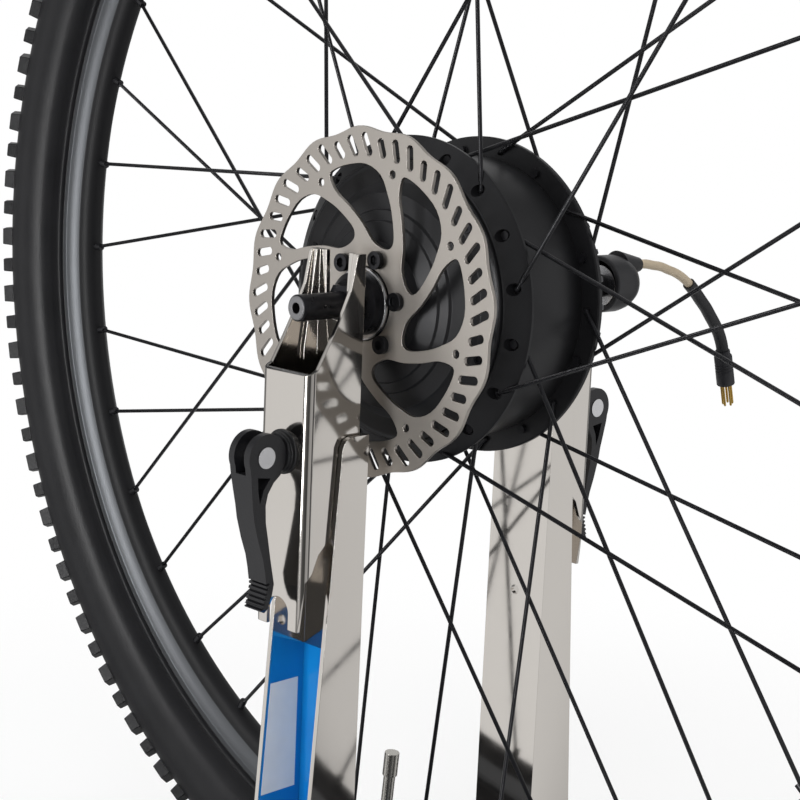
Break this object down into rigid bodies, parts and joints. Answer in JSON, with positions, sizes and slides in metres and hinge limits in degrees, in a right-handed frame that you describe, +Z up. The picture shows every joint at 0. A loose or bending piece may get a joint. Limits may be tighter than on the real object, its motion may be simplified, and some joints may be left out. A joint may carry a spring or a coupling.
{
  "type": "wheel in truing stand",
  "caption": "Electric bicycle rear wheel with a hub motor, brake rotor and cassette, held by its axle in a bench truing stand with clamped upright extensions.",
  "frame": {"origin": "on the bench plane, directly under the middle of the hub", "axes": "+X along the wheel axle from the brake side to the sprocket side, +Y away from the front of the stand, +Z up"},
  "size_m": [0.4248, 0.706, 0.753],
  "materials": {
    "base_sheet": "satin powder coat",
    "foot_rubber": "matte",
    "zinc_steel": "bright zinc",
    "axle_black": "black oxide",
    "washer_steel": "bright",
    "motor_core": "varnished laminations",
    "boot_rubber": "satin",
    "cable_jacket": "semi-matte",
    "sleeve_plastic": "matte",
    "plug_plastic": "satin",
    "pin_brass": "gold plated",
    "knob_plastic": "satin",
    "chrome_sheet": "mirror chrome",
    "lever_black": "satin black",
    "collar_black": "satin",
    "pin_steel": "bright",
    "nut_brass": "plain",
    "tyre_rubber": "matte",
    "tube_rubber": "matte",
    "tape_plastic": "matte",
    "rim_black": "black anodised",
    "valve_metal": "nickel plated",
    "spoke_black": "black",
    "nipple_black": "black",
    "shell_black": "satin black anodised",
    "screw_black": "black oxide",
    "magnet_steel": "nickel",
    "bearing_steel": "ground",
    "rotor_steel": "ground stainless",
    "cog_steel": "dark nickel",
    "freehub_alloy": "satin",
    "spacer_plastic": "matte"
  },
  "bodies": {
    "base": {"base_tray": "base_sheet", "base_rails": "base_sheet", "base_feet": "foot_rubber", "hinge_pins": "zinc_steel", "axle": "axle_black", "axle_locknuts": "axle_black", "axle_washers": "washer_steel", "stator": "motor_core", "axle_nut": "washer_steel", "cable_boot": "boot_rubber", "motor_cable": "cable_jacket", "cable_sleeve": "sleeve_plastic", "connector_shell": "plug_plastic", "connector_pins": "pin_brass"},
    "screw": {"width_screw": "zinc_steel", "screw_knob": "knob_plastic"},
    "left_arm": {"left_upright": "chrome_sheet", "left_extension": "chrome_sheet", "left_dropout": "chrome_sheet", "left_skewer": "zinc_steel", "left_cam_washer": "collar_black", "left_lever_pin": "pin_steel", "left_screw_nut": "nut_brass"},
    "right_arm": {"right_upright": "chrome_sheet", "right_extension": "chrome_sheet", "right_dropout": "chrome_sheet", "right_skewer": "zinc_steel", "right_cam_washer": "collar_black", "right_lever_pin": "pin_steel", "right_screw_nut": "nut_brass"},
    "left_clamp": {"left_lever": "lever_black"},
    "right_clamp": {"right_lever": "lever_black"},
    "wheel": {"tyre": "tyre_rubber", "inner_tube": "tube_rubber", "rim_tape": "tape_plastic", "rim": "rim_black", "valve": "valve_metal", "left_spokes": "spoke_black", "right_spokes": "spoke_black", "nipples": "nipple_black", "hub_shell": "shell_black", "disc_cover": "shell_black", "drive_cover": "shell_black", "cover_screws": "screw_black", "magnet_ring": "magnet_steel", "hub_bearings": "bearing_steel", "brake_rotor": "rotor_steel", "rotor_bolts": "screw_black"},
    "cassette": {"freehub_body": "freehub_alloy", "sprocket_34": "cog_steel", "sprocket_28": "cog_steel", "sprocket_24": "cog_steel", "sprocket_21": "cog_steel", "sprocket_18": "cog_steel", "sprocket_15": "cog_steel", "sprocket_13": "cog_steel", "sprocket_11": "cog_steel", "sprocket_spacers": "spacer_plastic", "lockring": "freehub_alloy"}
  },
  "joints": [
    {"name": "wheel_spin", "type": "hinge", "parent": "base", "child": "wheel", "pos_m": [0, 0, 0.4], "axis": [1, 0, 0], "continuous": true},
    {"name": "cassette_spin", "type": "hinge", "parent": "wheel", "child": "cassette", "pos_m": [0.047, 0, 0.4], "axis": [1, 0, 0], "continuous": true},
    {"name": "screw_turn", "type": "hinge", "parent": "base", "child": "screw", "pos_m": [0, 0, 0.018], "axis": [1, 0, 0], "range_deg": [0, 591]},
    {"name": "left_arm_tilt", "type": "hinge", "parent": "base", "child": "left_arm", "pos_m": [-0.075, 0, 0.06], "axis": [0, -1, 0], "range_deg": [0, 2.8]},
    {"name": "right_arm_tilt", "type": "hinge", "parent": "base", "child": "right_arm", "pos_m": [0.075, 0, 0.06], "axis": [0, 1, 0], "range_deg": [0, 2.8]},
    {"name": "left_lever_swing", "type": "hinge", "parent": "left_arm", "child": "left_clamp", "pos_m": [-0.1143, 0, 0.3365], "axis": [0, 1, 0], "range_deg": [0, 90]},
    {"name": "right_lever_swing", "type": "hinge", "parent": "right_arm", "child": "right_clamp", "pos_m": [0.1143, 0, 0.3365], "axis": [0, -1, 0], "range_deg": [0, 90]}
  ],
  "couplings": [
    {"joint": "screw_turn", "follows": "left_arm_tilt", "ratio": 211.06},
    {"joint": "right_arm_tilt", "follows": "left_arm_tilt", "ratio": 1}
  ]
}
